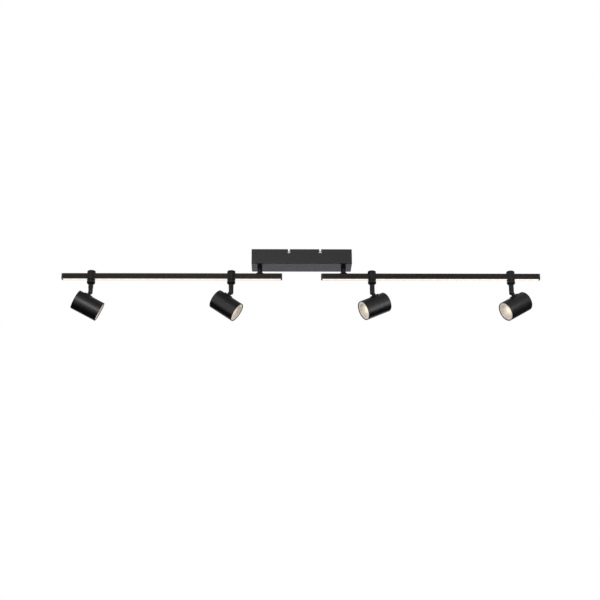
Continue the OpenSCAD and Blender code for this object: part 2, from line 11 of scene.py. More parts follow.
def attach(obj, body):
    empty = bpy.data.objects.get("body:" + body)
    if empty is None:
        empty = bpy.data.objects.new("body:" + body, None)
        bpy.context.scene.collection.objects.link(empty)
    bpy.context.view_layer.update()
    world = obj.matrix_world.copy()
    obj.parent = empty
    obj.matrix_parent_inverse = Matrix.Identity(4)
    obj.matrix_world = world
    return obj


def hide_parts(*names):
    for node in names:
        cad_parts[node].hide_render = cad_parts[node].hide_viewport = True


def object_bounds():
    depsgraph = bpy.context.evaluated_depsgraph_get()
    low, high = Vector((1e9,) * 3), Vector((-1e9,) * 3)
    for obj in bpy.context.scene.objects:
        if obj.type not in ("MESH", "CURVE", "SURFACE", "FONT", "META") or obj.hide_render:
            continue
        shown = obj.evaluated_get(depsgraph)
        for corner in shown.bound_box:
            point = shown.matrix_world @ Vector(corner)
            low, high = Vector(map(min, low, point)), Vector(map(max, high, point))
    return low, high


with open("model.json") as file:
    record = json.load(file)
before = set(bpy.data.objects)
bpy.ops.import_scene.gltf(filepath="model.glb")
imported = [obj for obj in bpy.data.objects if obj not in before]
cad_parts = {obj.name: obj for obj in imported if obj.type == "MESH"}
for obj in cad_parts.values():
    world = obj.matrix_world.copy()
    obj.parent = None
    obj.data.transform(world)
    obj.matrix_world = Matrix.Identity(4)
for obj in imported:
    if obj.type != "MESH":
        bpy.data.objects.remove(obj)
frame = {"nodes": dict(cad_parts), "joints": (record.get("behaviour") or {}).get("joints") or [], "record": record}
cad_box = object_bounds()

# Shapes are drawn in millimetres and scaled when they become pieces, which are in metres.
MM = 0.001
# Room between round pieces that fit into each other
PLAY = 0.05
TINY = 1e-6
ARC_STEP = math.radians(11)
# Faces that meet at less than FLAT count as one, and edges sharper than SHARP are rounded or kept hard.
FLAT = math.radians(0.5)
SHARP = math.radians(32)

RECORD = frame["record"]
BODY_OF = {n: body for body, nodes in RECORD["behaviour"]["bodies"].items() for n in nodes}
SLOT_OF = {part["node"]: part["material_slot"] for part in RECORD["subparts"]}
JOINTS = {joint["name"]: joint for joint in frame["joints"]}
SIDES = ("left", "right")
SPOTS = (1, 2, 3, 4)
UPRIGHT = Matrix.Identity(4)
Z_TO_X = Matrix.Rotation(math.radians(90), 4, "Y")
Z_TO_Y = Matrix.Rotation(math.radians(-90), 4, "X")


# ---- Sizes read from the frame ----


def extent(node, place=UPRIGHT):
    """Lowest and highest corner of a CAD node along the axes of a local frame."""
    inverse = place.inverted()
    points = [inverse @ (v.co / MM) for v in frame["nodes"][node].data.vertices]
    return Vector(map(min, zip(*points))), Vector(map(max, zip(*points)))


def joint_at(name):
    return Vector(JOINTS[name]["pos_m"]) / MM


def swivel_frame(spot):
    """Frame of a spot's stem: origin on the tilt pivot, X along its heading, Y along the pin."""
    across = Vector(JOINTS[f"spot{spot}_tilt"]["axis"])
    ahead = across.cross(Vector((0, 0, 1)))
    turn = Matrix((ahead, across, (0, 0, 1))).transposed().to_4x4()
    return Matrix.Translation(joint_at(f"spot{spot}_tilt")) @ turn


def head_frame(spot):
    """Frame of a spot's can: X along the can towards its mouth, origin under the pivot."""
    tilt = -math.radians(JOINTS[f"spot{spot}_tilt"]["range_deg"][0])
    tilted = swivel_frame(spot) @ Matrix.Rotation(tilt, 4, "Y")
    low, high = extent(f"spot{spot}_can", tilted)
    return tilted @ Matrix.Translation((0, 0, (low.z + high.z) / 2))


def hub_centres(side):
    low, high = extent(f"{side}_hub_caps")
    radius = (high.y - low.y) / 2
    return [low.x + radius, high.x - radius]


# ---- Shape tools ----


def rounded(points, closed=True):
    """An outline of (u, v) or (u, v, radius) points, where a radius turns the corner into an arc."""
    corners = [Vector(p[:2]) for p in points]
    outline = []
    for k, point in enumerate(points):
        corner = corners[k]
        is_end = not closed and k in (0, len(points) - 1)
        if len(point) < 3 or is_end:
            outline.append(corner)
            continue
        radius = point[2]
        before = (corners[k - 1] - corner).normalized()
        after = (corners[(k + 1) % len(points)] - corner).normalized()
        half = before.angle(after) / 2
        centre = corner + (before + after).normalized() * radius / math.sin(half)
        start = corner + before * radius / math.tan(half) - centre
        end = corner + after * radius / math.tan(half) - centre
        turn = math.atan2(start.x * end.y - start.y * end.x, start.dot(end))
        steps = max(2, math.ceil(abs(turn) / ARC_STEP))
        for s in range(steps + 1):
            outline.append(centre + Matrix.Rotation(turn * s / steps, 2) @ start)
    return outline


def arc(centre, radius, start_deg, end_deg, steps):
    turns = [math.radians(start_deg + (end_deg - start_deg) * s / steps) for s in range(steps + 1)]
    return [Vector((centre[0] + radius * math.cos(a), centre[1] + radius * math.sin(a))) for a in turns]


def round_rect(length, width, radius):
    x, y = length / 2, width / 2
    return rounded([(-x, -y, radius), (x, -y, radius), (x, y, radius), (-x, y, radius)])


def skin(rings, cyclic=False):
    """A closed shape through rings of points. A ring of one point is a tip, other ends get a cap."""
    shape = bmesh.new()
    loops = [[shape.verts.new(p) for p in ring] for ring in rings]
    following = loops[1:] + loops[:1] if cyclic else loops[1:]
    for a, b in zip(loops, following):
        for k in range(max(len(a), len(b))):
            n = k + 1
            corners = (a[k % len(a)], a[n % len(a)], b[n % len(b)], b[k % len(b)])
            unique = list(dict.fromkeys(corners))
            if len(unique) > 2:
                shape.faces.new(unique)
    if not cyclic:
        for end in (loops[0], loops[-1]):
            if len(end) > 2:
                shape.faces.new(end)
    bmesh.ops.recalc_face_normals(shape, faces=shape.faces)
    return shape


def turned(outline, sides=96):
    """An outline of (along, radius) points turned about Z."""
    angles = [2 * math.pi * k / sides for k in range(sides)]
    rings = []
    for along, radius in outline:
        if radius < TINY:
            rings.append([(0, 0, along)])
        else:
            rings.append([(radius * math.cos(a), radius * math.sin(a), along) for a in angles])
    return skin(rings, cyclic=min(p[1] for p in outline) > TINY)


def rod(radius, low, high, sides=48):
    """A plain rod on Z, used to cut bores."""
    return turned([(low, 0), (low, radius), (high, radius), (high, 0)], sides)


def prism(outline, low, high):
    """A flat outline raised along Z."""
    return skin([[(u, v, z) for u, v in outline] for z in (low, high)])


def block(low, high):
    (x0, y0, z0), (x1, y1, z1) = low, high
    return prism([(x0, y0), (x1, y0), (x1, y1), (x0, y1)], z0, z1)


def placed(shape, place):
    shape.transform(place)
    return shape


def together(shapes):
    """Separate shapes as one."""
    joined = bmesh.new()
    for shape in shapes:
        data = to_mesh(shape, "part")
        joined.from_mesh(data)
        bpy.data.meshes.remove(data)
    return joined


def copies(shape, places):
    """The same shape at several places."""
    return together([placed(shape.copy(), place) for place in places])


def to_mesh(shape, name):
    data = bpy.data.meshes.new(name)
    shape.to_mesh(data)
    shape.free()
    return data


def to_object(shape, name):
    obj = bpy.data.objects.new(name, to_mesh(shape, name))
    bpy.context.scene.collection.objects.link(obj)
    return obj


def modified(shape, kind, settings, tools=()):
    """A shape after one modifier for each tool, or after a single modifier."""
    base = to_object(shape, "base")
    helpers = [to_object(tool, "tool") for tool in tools]
    for helper in helpers or [None]:
        modifier = base.modifiers.new(kind, kind)
        for key, value in settings.items():
            setattr(modifier, key, value)
        if helper:
            modifier.object = helper
    depsgraph = bpy.context.evaluated_depsgraph_get()
    data = bpy.data.meshes.new_from_object(base.evaluated_get(depsgraph))
    result = bmesh.new()
    result.from_mesh(data)
    bpy.data.meshes.remove(data)
    for obj in [base, *helpers]:
        mesh = obj.data
        bpy.data.objects.remove(obj)
        bpy.data.meshes.remove(mesh)
    return result


def cut(shape, *tools):
    return modified(shape, "BOOLEAN", {"operation": "DIFFERENCE", "solver": "EXACT"}, tools)


def shared(shape, *tools):
    return modified(shape, "BOOLEAN", {"operation": "INTERSECT", "solver": "EXACT"}, tools)


def united(shape, *tools):
    return modified(shape, "BOOLEAN", {"operation": "UNION", "solver": "EXACT"}, tools)


def bevelled(shape, width):
    """A shape with its sharp edges rounded."""
    bmesh.ops.dissolve_limit(shape, angle_limit=FLAT, verts=shape.verts, edges=shape.edges)
    settings = {"width": width, "segments": 2, "limit_method": "ANGLE", "angle_limit": SHARP}
    return modified(shape, "BEVEL", settings)


def cad_shape(node):
    """The shape of a CAD node, with its flat faces made whole again."""
    shape = bmesh.new()
    shape.from_mesh(frame["nodes"][node].data)
    bmesh.ops.scale(shape, vec=(1 / MM,) * 3, verts=shape.verts)
    bmesh.ops.remove_doubles(shape, verts=shape.verts, dist=0.001)
    bmesh.ops.recalc_face_normals(shape, faces=shape.faces)
    return shape


# ---- Materials ----


class Finish:
    """A procedural material: a Principled shader and short calls for the nodes that feed it."""

    def __init__(self, name, colour, roughness, **constants):
        self.material = bpy.data.materials.new(name)
        self.material.use_nodes = True
        self.tree = self.material.node_tree
        self.shader = self.tree.nodes["Principled BSDF"]
        self.where = self.tree.nodes.new("ShaderNodeTexCoord").outputs["Object"]
        self.relief = None
        self.put("Base Color", (*colour, 1))
        self.put("Roughness", roughness)
        for socket, value in constants.items():
            self.put(socket.replace("_", " "), value)

    def put(self, socket, value):
        self.shader.inputs[socket].default_value = value

    def node(self, kind, inputs=None, **settings):
        made = self.tree.nodes.new(kind)
        for key, value in settings.items():
            setattr(made, key, value)
        for socket, value in (inputs or {}).items():
            if isinstance(value, bpy.types.NodeSocket):
                self.tree.links.new(value, made.inputs[socket])
            else:
                made.inputs[socket].default_value = value
        return made

    def stretched(self, scale):
        """Object coordinates in millimetres, scaled by axis."""
        inputs = {"Vector": self.where, "Scale": [s / MM for s in scale]}
        return self.node("ShaderNodeMapping", inputs).outputs["Vector"]

    def noise(self, size, detail=2.0, stretch=(1, 1, 1)):
        """Noise with features of about the given size in millimetres."""
        vector = self.stretched([s / size for s in stretch])
        inputs = {"Vector": vector, "Scale": 1.0, "Detail": detail, "Roughness": 0.55}
        return self.node("ShaderNodeTexNoise", inputs).outputs["Fac"]

    def spread(self, value, low, high, source=(0.3, 0.7)):
        """A 0..1 value as a number from low to high."""
        inputs = {"Value": value, 1: source[0], 2: source[1], 3: low, 4: high}
        return self.node("ShaderNodeMapRange", inputs).outputs["Result"]

    def blend(self, value, first, second):
        """A colour between two by a 0..1 value."""
        ramp = self.node("ShaderNodeValToRGB", {"Fac": value})
        ramp.color_ramp.elements[0].color = (*first, 1)
        ramp.color_ramp.elements[1].color = (*second, 1)
        ramp.color_ramp.elements[0].position = 0.3
        ramp.color_ramp.elements[1].position = 0.7
        return ramp.outputs["Color"]

    def feed(self, socket, output):
        self.tree.links.new(output, self.shader.inputs[socket])
        return self

    def bump(self, value, depth_mm, strength=1.0):
        """Adds a relief of the given depth; later calls stand on the earlier ones."""
        inputs = {"Height": value, "Distance": depth_mm * MM, "Strength": strength}
        if self.relief:
            inputs["Normal"] = self.relief
        self.relief = self.node("ShaderNodeBump", inputs).outputs["Normal"]
        return self.feed("Normal", self.relief)


def powder_coat(name, tint, level):
    """Satin black powder coat: fine orange peel over a faintly uneven gloss."""
    finish = Finish(name, (0.005, 0.005, 0.005), 0.36, Specular_IOR_Level=level)
    # The tint colours the sheen: white for plain paint, warm on the rails as painted light from the light strips
    finish.put("Specular Tint", (*tint, 1))
    clouds = finish.noise(38, detail=3)
    finish.feed("Base Color", finish.blend(clouds, (0.004, 0.004, 0.004), (0.006, 0.006, 0.006)))
    finish.feed("Roughness", finish.spread(finish.noise(9, detail=4), 0.31, 0.4))
    finish.bump(finish.noise(1.1, detail=1), 0.012)
    return finish.bump(finish.noise(0.28, detail=2), 0.004, 0.7).material


def black_plastic():
    """Moulded black plastic with a fine matt grain."""
    finish = Finish("black_moulded_plastic", (0.014, 0.014, 0.014), 0.5)
    finish.feed("Base Color", finish.blend(finish.noise(14), (0.011, 0.011, 0.011), (0.018, 0.018, 0.018)))
    finish.feed("Roughness", finish.spread(finish.noise(3), 0.44, 0.58))
    return finish.bump(finish.noise(0.35, detail=3), 0.015).material


def zinc():
    """Bright zinc plate with rolling lines and faint clouding."""
    finish = Finish("bright_zinc", (0.62, 0.63, 0.65), 0.3, Metallic=1.0)
    clouds = finish.noise(22, detail=4)
    finish.feed("Base Color", finish.blend(clouds, (0.52, 0.53, 0.56), (0.7, 0.71, 0.72)))
    lines = finish.noise(0.7, detail=3, stretch=(0.04, 1, 1))
    finish.feed("Roughness", finish.spread(lines, 0.22, 0.42))
    return finish.bump(lines, 0.01).material


def black_screw():
    """Black oxide on machined steel."""
    finish = Finish("black_oxide_steel", (0.035, 0.035, 0.037), 0.34, Metallic=0.75)
    finish.feed("Roughness", finish.spread(finish.noise(1.5, detail=4), 0.26, 0.44))
    return finish.bump(finish.noise(0.4), 0.01).material


def white_plastic():
    """White moulded housing plastic."""
    finish = Finish("white_moulded_plastic", (0.74, 0.74, 0.71), 0.42, Subsurface_Weight=0.05)
    finish.feed("Base Color", finish.blend(finish.noise(30), (0.7, 0.7, 0.67), (0.78, 0.78, 0.76)))
    finish.feed("Roughness", finish.spread(finish.noise(4), 0.36, 0.5))
    return finish.bump(finish.noise(0.4, detail=3), 0.012).material


def brass():
    """Turned brass with fine tool lines."""
    finish = Finish("turned_brass", (0.72, 0.5, 0.2), 0.28, Metallic=1.0)
    finish.feed("Base Color", finish.blend(finish.noise(3), (0.64, 0.43, 0.16), (0.78, 0.57, 0.26)))
    return finish.bump(finish.noise(0.3, stretch=(0.2, 0.2, 1)), 0.01).material


def silicone(name, first, second):
    """Silicone wire insulation, dull and slightly mottled."""
    finish = Finish(name, first, 0.55)
    finish.feed("Base Color", finish.blend(finish.noise(6, detail=0), first, second))
    finish.feed("Roughness", finish.spread(finish.noise(2), 0.48, 0.62))
    return finish.bump(finish.noise(0.5), 0.02).material


def solder_mask():
    """White solder mask of the light strip."""
    finish = Finish("white_solder_mask", (0.8, 0.8, 0.76), 0.3)
    finish.feed("Base Color", finish.blend(finish.noise(5), (0.76, 0.76, 0.72), (0.84, 0.84, 0.8)))
    return finish.bump(finish.noise(0.8), 0.01).material


def ceramic():
    """Unglazed lamp holder ceramic."""
    finish = Finish("unglazed_ceramic", (0.72, 0.69, 0.62), 0.8)
    finish.feed("Base Color", finish.blend(finish.noise(4), (0.66, 0.63, 0.56), (0.77, 0.74, 0.68)))
    return finish.bump(finish.noise(0.5, detail=4), 0.03).material


def lamp_shell():
    """Satin silver shell of the lamp, with a painted glow for the lamp's light falling on it."""
    finish = Finish("satin_lamp_shell_painted_glow", (0.6, 0.59, 0.58), 0.3, Metallic=0.9)
    # Painted glow: the light of the optic falling on the shell
    finish.put("Emission Color", (0.4, 0.37, 0.33, 1))
    finish.put("Emission Strength", 0.8)
    finish.feed("Roughness", finish.spread(finish.noise(2, detail=3), 0.24, 0.38))
    return finish.bump(finish.noise(0.5), 0.008).material


def lit_optic():
    """Lit lamp optic: each facet glows by its own share, stored on its face."""
    finish = Finish("lit_optic", (0.3, 0.27, 0.24), 0.18, Coat_Weight=0.6, Coat_Roughness=0.05)
    share = finish.node("ShaderNodeAttribute", attribute_name="glow").outputs["Fac"]
    grain = finish.spread(finish.noise(1.4, detail=1), -0.06, 0.06)
    value = finish.node("ShaderNodeMath", {0: share, 1: grain}, operation="ADD").outputs["Value"]
    ramp = finish.node("ShaderNodeValToRGB", {"Fac": value})
    stops = ramp.color_ramp.elements
    stops[0].color = (0.17, 0.145, 0.12, 1)
    stops[1].color = (1.0, 0.91, 0.66, 1)
    middle = stops.new(0.5)
    middle.color = (0.56, 0.48, 0.38, 1)
    finish.feed("Emission Color", ramp.outputs["Color"])
    finish.put("Emission Strength", 1.0)
    return finish.bump(finish.noise(0.6), 0.01).material


# Millimetres between the light strip's chips, and the bands that a wave node draws per unit at scale 1
CHIP_PITCH = 25
BANDS_PER_UNIT = 3.18


def opal():
    """Opal diffuser lit from within, a little brighter over each light chip."""
    finish = Finish("lit_opal_acrylic", (0.8, 0.78, 0.74), 0.4)
    along = finish.stretched([1 / CHIP_PITCH, 1, 1])
    waves = finish.node(
        "ShaderNodeTexWave", {"Vector": along, "Scale": 1 / BANDS_PER_UNIT, "Distortion": 0.0},
        wave_type="BANDS", bands_direction="X", wave_profile="SIN",
    ).outputs["Fac"]
    glow = finish.blend(finish.spread(waves, 0.2, 0.8, (0, 1)), (0.85, 0.775, 0.68), (0.91, 0.84, 0.75))
    finish.feed("Emission Color", glow)
    finish.put("Emission Strength", 1.0)
    return finish.bump(finish.noise(0.5), 0.006).material


MATERIALS = {
    "black_paint": powder_coat("black_powder_coat", (1, 1, 1), 0.5),
    "black_plastic": black_plastic(),
    "zinc_steel": zinc(),
    "black_screw": black_screw(),
    "white_plastic": white_plastic(),
    "brass": brass(),
    "wire_white": silicone("white_silicone", (0.76, 0.76, 0.72), (0.83, 0.83, 0.8)),
    "wire_earth": silicone("green_yellow_silicone", (0.1, 0.34, 0.06), (0.72, 0.62, 0.05)),
    "opal_diffuser": opal(),
    "led_strip": solder_mask(),
    "ceramic": ceramic(),
    "lamp_body": lamp_shell(),
    "lamp_lens": lit_optic(),
}
# The rails and the joints wear the black paint too, with a duller sheen; the rails' sheen is also tinted warm, as
# painted light from the light strips
RAIL_COAT_PAINTED_WARM_LIGHT = powder_coat("rail_powder_coat_painted_warm_light", (1, 0.87, 0.73), 0.33)
JOINT_COAT = powder_coat("joint_powder_coat", (1, 1, 1), 0.28)


def visual(node, shape, material=None):
    """Makes a shape the visible piece for a CAD node, on its body and, unless told, in its finish."""
    bmesh.ops.scale(shape, vec=(MM,) * 3, verts=shape.verts)
    piece = to_object(shape, f"{node}_visual")
    piece.data.materials.append(material or MATERIALS[SLOT_OF[node]])
    piece.data.shade_smooth()
    piece.data.set_sharp_from_angle(angle=SHARP)
    weighted = piece.modifiers.new("flat_faces_stay_flat", "WEIGHTED_NORMAL")
    weighted.keep_sharp = True
    weighted.weight = 90
    depsgraph = bpy.context.evaluated_depsgraph_get()
    plain = piece.data
    piece.data = bpy.data.meshes.new_from_object(piece.evaluated_get(depsgraph))
    piece.modifiers.clear()
    bpy.data.meshes.remove(plain)
    piece.data.name = piece.name
    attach(piece, BODY_OF[node])
    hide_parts(node)
    return piece


# ---- Canopy ----

SHEET = 1.2
CORNER = 3.0
BEND = 1.7
NOTCH_W = 5.0
NOTCH_R = 4.3
HEAD_R = 4.1
HEAD_T = 3.0
FLOOR_HOLE_R = 7.0


def notch_places():
    """The x of both keyhole notches and the z of their round ends, from the screws in them."""
    low, high = extent("locking_screws")
    return [low.x + HEAD_R, high.x - HEAD_R], (low.z + high.z) / 2


def canopy_cover():
    low, high = extent("canopy_cover")
    length, width = high.x - low.x, high.y - low.y
    flat = 8
    profile = rounded([
        (flat, low.z + SHEET), (SHEET, low.z + SHEET, BEND - SHEET), (SHEET, high.z, 0.3),
        (0, high.z, 0.5), (0, low.z, BEND), (flat, low.z)], closed=False)
    rings = []
    for inset, z in profile:
        plan = round_rect(length - 2 * inset, width - 2 * inset, max(CORNER - inset, 0.3))
        rings.append([(u, v, z) for u, v in plan])
    xs, z = notch_places()
    half = math.degrees(math.asin(NOTCH_W / 2 / NOTCH_R))
    above_rim = 5 - z
    keyhole = [(NOTCH_W / 2, above_rim), (-NOTCH_W / 2, above_rim)]
    keyhole += arc((0, 0), NOTCH_R, 90 + half, 450 - half, 36)
    tools = []
    for x in xs:
        place = Matrix.Translation((x, width, z)) @ Matrix.Rotation(math.radians(90), 4, "X")
        tools.append(placed(prism(keyhole, 0, 2 * width), place))
    for side in SIDES:
        x = joint_at(f"{side}_rail_swivel").x
        tools.append(placed(rod(FLOOR_HOLE_R, low.z - 1, low.z + SHEET + 1), Matrix.Translation((x, 0, 0))))
    visual("canopy_cover", bevelled(cut(skin(rings), *tools), 0.2))


def locking_screws():
    xs, z = notch_places()
    shank_r, crown_r, crown_t = 2.0, 2.6, 0.9
    tail_past_bracket = 5.5
    tail = extent("ceiling_bracket")[1].y - tail_past_bracket
    out = extent("locking_screws")[1].y
    profile = rounded([
        (tail, 0), (tail, shank_r, 0.4), (out - HEAD_T, shank_r), (out - HEAD_T, HEAD_R, 0.3),
        (out - crown_t, HEAD_R, 0.8), (out, crown_r, 0.8), (out, 0)], closed=False)
    slot_w, slot_t = 1.2, 1.5
    slot = block((-6, -slot_w / 2, out - slot_t), (6, slot_w / 2, out + 1))
    screw = bevelled(cut(turned(profile, 48), slot), 0.12)
    places = []
    for x in xs:
        for turn in (90, -90):
            place = Matrix.Translation((x, 0, z)) @ Matrix.Rotation(math.radians(turn), 4, "X")
            # Each screw's slot ends at a turn of its own
            places.append(place @ Matrix.Rotation(math.radians(17 * x), 4, "Z"))
    visual("locking_screws", copies(screw, places))


def post_bushes():
    low, high = extent("post_bushes")
    lip_r = (high.y - low.y) / 2
    bore, sleeve_r = NECK_R + PLAY, FLOOR_HOLE_R - PLAY
    under = extent("canopy_cover")[0].z
    profile = rounded([
        (low.z, bore, 0.15), (low.z, lip_r, 0.45), (under, lip_r), (under, sleeve_r),
        (high.z, sleeve_r, 0.2), (high.z, bore, 0.2)])
    places = [Matrix.Translation((joint_at(f"{side}_rail_swivel").x, 0, 0)) for side in SIDES]
    visual("post_bushes", copies(turned(profile, 72), places))


def softened(node, width):
    """A CAD node as it is, with its edges rounded."""
    visual(node, bevelled(cad_shape(node), width))


# ---- Arms ----

POST_R = 7.25
POST_BORE_R = 3.5
NECK_R = 5.0
FLANGE_T = 2.0
RAIL_WALL = 1.2
RAIL_EDGE = 0.45
SHELF_DROP = 9.2
SPIGOT_R = 8.0
SCREW_HOLE_R = 2.1


def post(side):
    low, high = extent(f"{side}_post")
    flange_r = (high.y - low.y) / 2
    shoulder = extent("post_bushes")[0].z - 0.1
    profile = rounded([
        (low.z, POST_BORE_R), (low.z, flange_r, 0.3), (low.z + FLANGE_T, flange_r, 0.7),
        (low.z + FLANGE_T, POST_R, 0.5), (shoulder, POST_R, 0.4), (shoulder, NECK_R),
        (high.z, NECK_R, 0.4), (high.z, POST_BORE_R, 0.3)])
    place = Matrix.Translation((joint_at(f"{side}_rail_swivel").x, 0, 0))
    visual(f"{side}_post", placed(turned(profile), place), JOINT_COAT)


def rail(side):
    low, high = extent(f"{side}_rail")
    shelf = high.z - SHELF_DROP
    outer, inner = high.y, high.y - RAIL_WALL
    groove = 0.35
    section = rounded([
        (-outer, low.z, 0.25), (-inner, low.z, 0.25), (-inner, shelf - RAIL_WALL, 0.3),
        (inner, shelf - RAIL_WALL, 0.3), (inner, low.z, 0.25), (outer, low.z, 0.25),
        (outer, shelf - 0.4), (outer - groove, shelf), (outer, shelf + 0.4),
        (outer, high.z, RAIL_EDGE), (-outer, high.z, RAIL_EDGE),
        (-outer, shelf + 0.4), (groove - outer, shelf), (-outer, shelf - 0.4)])
    bar = skin([[(x, y, z) for y, z in section] for x in (low.x, high.x)])
    duct = block((low.x - 1, -inner, shelf), (high.x + 1, inner, high.z - RAIL_WALL))
    post_x = joint_at(f"{side}_rail_swivel").x
    post_hole_r, lead_hole_r, strip_lead_inset = 4, 2.8, 20
    holes = [placed(rod(post_hole_r, high.z - 3, high.z + 2, 24), Matrix.Translation((post_x, 0, 0)))]
    strip_hole = post_x - math.copysign(strip_lead_inset, post_x)
    for x in hub_centres(side) + [strip_hole]:
        holes.append(placed(rod(lead_hole_r, shelf - 3, shelf + 2, 24), Matrix.Translation((x, 0, 0))))
    # The rails' coat has a warm sheen tint: painted light from the light strips
    visual(f"{side}_rail", cut(bar, duct, *holes), RAIL_COAT_PAINTED_WARM_LIGHT)


def rail_end_caps(side):
    low, high = extent(f"{side}_rail_end_caps")
    rail_low, rail_high = extent(f"{side}_rail")
    play, tongue_l = 0.1, 5
    tongue_w = 2 * (rail_high.y - RAIL_WALL - play)
    tongue = (rail_high.z - SHELF_DROP + play, rail_high.z - RAIL_WALL - play)
    caps = []
    for outside, inside, tip in ((low.x, rail_low.x, 1), (high.x, rail_high.x, -1)):
        rings = []
        for inset, x in ((1.1, 0), (0.45, 0.12), (0.12, 0.45), (0, 1.1), (0, abs(inside - outside))):
            plan = round_rect(high.y - low.y - 2 * inset, high.z - low.z - 2 * inset, 1.2 - inset)
            middle = (low.z + high.z) / 2
            rings.append([(outside + tip * x, u, v + middle) for u, v in plan])
        plan = round_rect(tongue_w, tongue[1] - tongue[0], 0.4)
        for x in (inside, inside + tip * tongue_l):
            rings.append([(x, u, v + sum(tongue) / 2) for u, v in plan])
        caps.append(skin(rings))
    visual(f"{side}_rail_end_caps", together(caps))


def diffusers(side):
    low, high = extent(f"{side}_diffusers")
    half, lip, floor_t = high.y, 1.0, 1.6
    centres = hub_centres(side)
    gap = 8
    runs = [
        (low.x, centres[0] - gap), (centres[0] + gap, centres[1] - gap), (centres[1] + gap, high.x)]
    section = rounded([
        (-half, low.z, 0.3), (half, low.z, 0.3), (half, high.z, 0.2), (half - lip, high.z, 0.2),
        (half - lip, low.z + floor_t, 0.3), (lip - half, low.z + floor_t, 0.3),
        (lip - half, high.z, 0.2), (-half, high.z, 0.2)])
    strips = [skin([[(x, y, z) for y, z in section] for x in run]) for run in runs]
    visual(f"{side}_diffusers", together(strips))


def hub_caps(side):
    low, high = extent(f"{side}_hub_caps")
    radius = (high.y - low.y) / 2
    recess_r, recess = 3.75, 2.2
    profile = rounded([
        (low.z, SCREW_HOLE_R), (low.z, radius, 0.35), (high.z, radius, 2.2), (high.z, recess_r, 0.3),
        (high.z - recess, recess_r), (high.z - recess, SCREW_HOLE_R)])
    places = [Matrix.Translation((x, 0, 0)) for x in hub_centres(side)]
    visual(f"{side}_hub_caps", copies(turned(profile), places), JOINT_COAT)


def hub_bodies(side):
    low, high = extent(f"{side}_hub_bodies")
    rail_low, rail_high = extent(f"{side}_rail")
    radius = (high.y - low.y) / 2
    waist_r, waist_top = 10.75, low.z + 3
    bore_r, seat_t, play = 6.2, 2.1, 0.15
    profile = rounded([
        (low.z, 0), (low.z, waist_r, 0.4), (waist_top, waist_r, 0.5), (waist_top, radius, 0.6),
        (high.z, radius, 0.45), (high.z, 0)], closed=False)
    tunnel = block(
        (-2 * radius, rail_low.y - play, rail_low.z - play),
        (2 * radius, rail_high.y + play, rail_high.z + play))
    tools = [
        tunnel, rod(SPIGOT_R + PLAY, low.z - 1, low.z + seat_t), rod(bore_r, low.z - 1, low.z + 8),
        rod(SCREW_HOLE_R, rail_high.z, high.z + 1)]
    body = bevelled(cut(turned(profile), *tools), 0.22)
    places = [Matrix.Translation((x, 0, 0)) for x in hub_centres(side)]
    visual(f"{side}_hub_bodies", copies(body, places), JOINT_COAT)


def hub_collars(side):
    low, high = extent(f"{side}_hub_collars")
    radius = (high.y - low.y) / 2
    bore, chamfer, shoulder = 4.05, 3.0, high.z - 2
    profile = rounded([
        (low.z, bore, 0.15), (low.z, radius - chamfer, 0.5), (low.z + chamfer, radius, 0.6),
        (shoulder - 1, radius, 0.4), (shoulder, radius - 1, 0.3), (shoulder, SPIGOT_R),
        (high.z, SPIGOT_R, 0.3), (high.z, bore, 0.15)])
    places = [Matrix.Translation((x, 0, 0)) for x in hub_centres(side)]
    visual(f"{side}_hub_collars", copies(turned(profile), places), JOINT_COAT)


def hex_outline(across_flats):
    return arc((0, 0), across_flats / math.sqrt(3), 0, 300, 5)


def hub_screws(side):
    low, high = extent(f"{side}_hub_screws")
    shank_r, head_r, key, key_depth = 2, 3.6, 3, 1.3
    under_head = high.z - 2
    profile = rounded([
        (low.z, 0), (low.z, shank_r, 0.3), (under_head, shank_r), (under_head, head_r, 0.2),
        (high.z, head_r, 0.4), (high.z, 0)], closed=False)
    screw = cut(turned(profile, 48), prism(hex_outline(key), high.z - key_depth, high.z + 1))
    places = [Matrix.Translation((x, 0, 0)) for x in hub_centres(side)]
    visual(f"{side}_hub_screws", copies(bevelled(screw, 0.1), places))


def post_nut(side):
    low, high = extent(f"{side}_post_nut")
    washer_top = low.z + 1
    bore, washer_r, across_flats = NECK_R + PLAY, 10, 15
    washer = turned(rounded([
        (low.z, bore, 0.15), (low.z, washer_r, 0.25), (washer_top, washer_r, 0.25),
        (washer_top, bore, 0.15)]))
    hexagon = prism(hex_outline(across_flats), washer_top + 0.01, high.z)
    face_r, corner_r, cone_t = 7.7, 9, 0.8
    corner_cone = turned([
        (washer_top, 0), (washer_top, face_r), (washer_top + cone_t, corner_r),
        (high.z - cone_t, corner_r), (high.z, face_r), (high.z, 0)])
    nut = bevelled(cut(shared(hexagon, corner_cone), rod(bore, low.z, high.z + 1)), 0.12)
    place = Matrix.Translation((joint_at(f"{side}_rail_swivel").x, 0, 0))
    visual(f"{side}_post_nut", placed(together([washer, nut]), place))


# ---- Spots ----

PIN_R = 2.0
FORK_SLOT_W = 6.6
FORK_SLOT_TOP = 10.7
KNUCKLE_T = 6.0
EYE_R = 6.0
SHANK_W = 10.0
FOOT = (24.0, 14.0, 2.2)
CAN_WALL = 1.5
CAN_BACK = 2.0


def side_of(spot):
    return "left" if joint_at(f"spot{spot}_pan").x < 0 else "right"


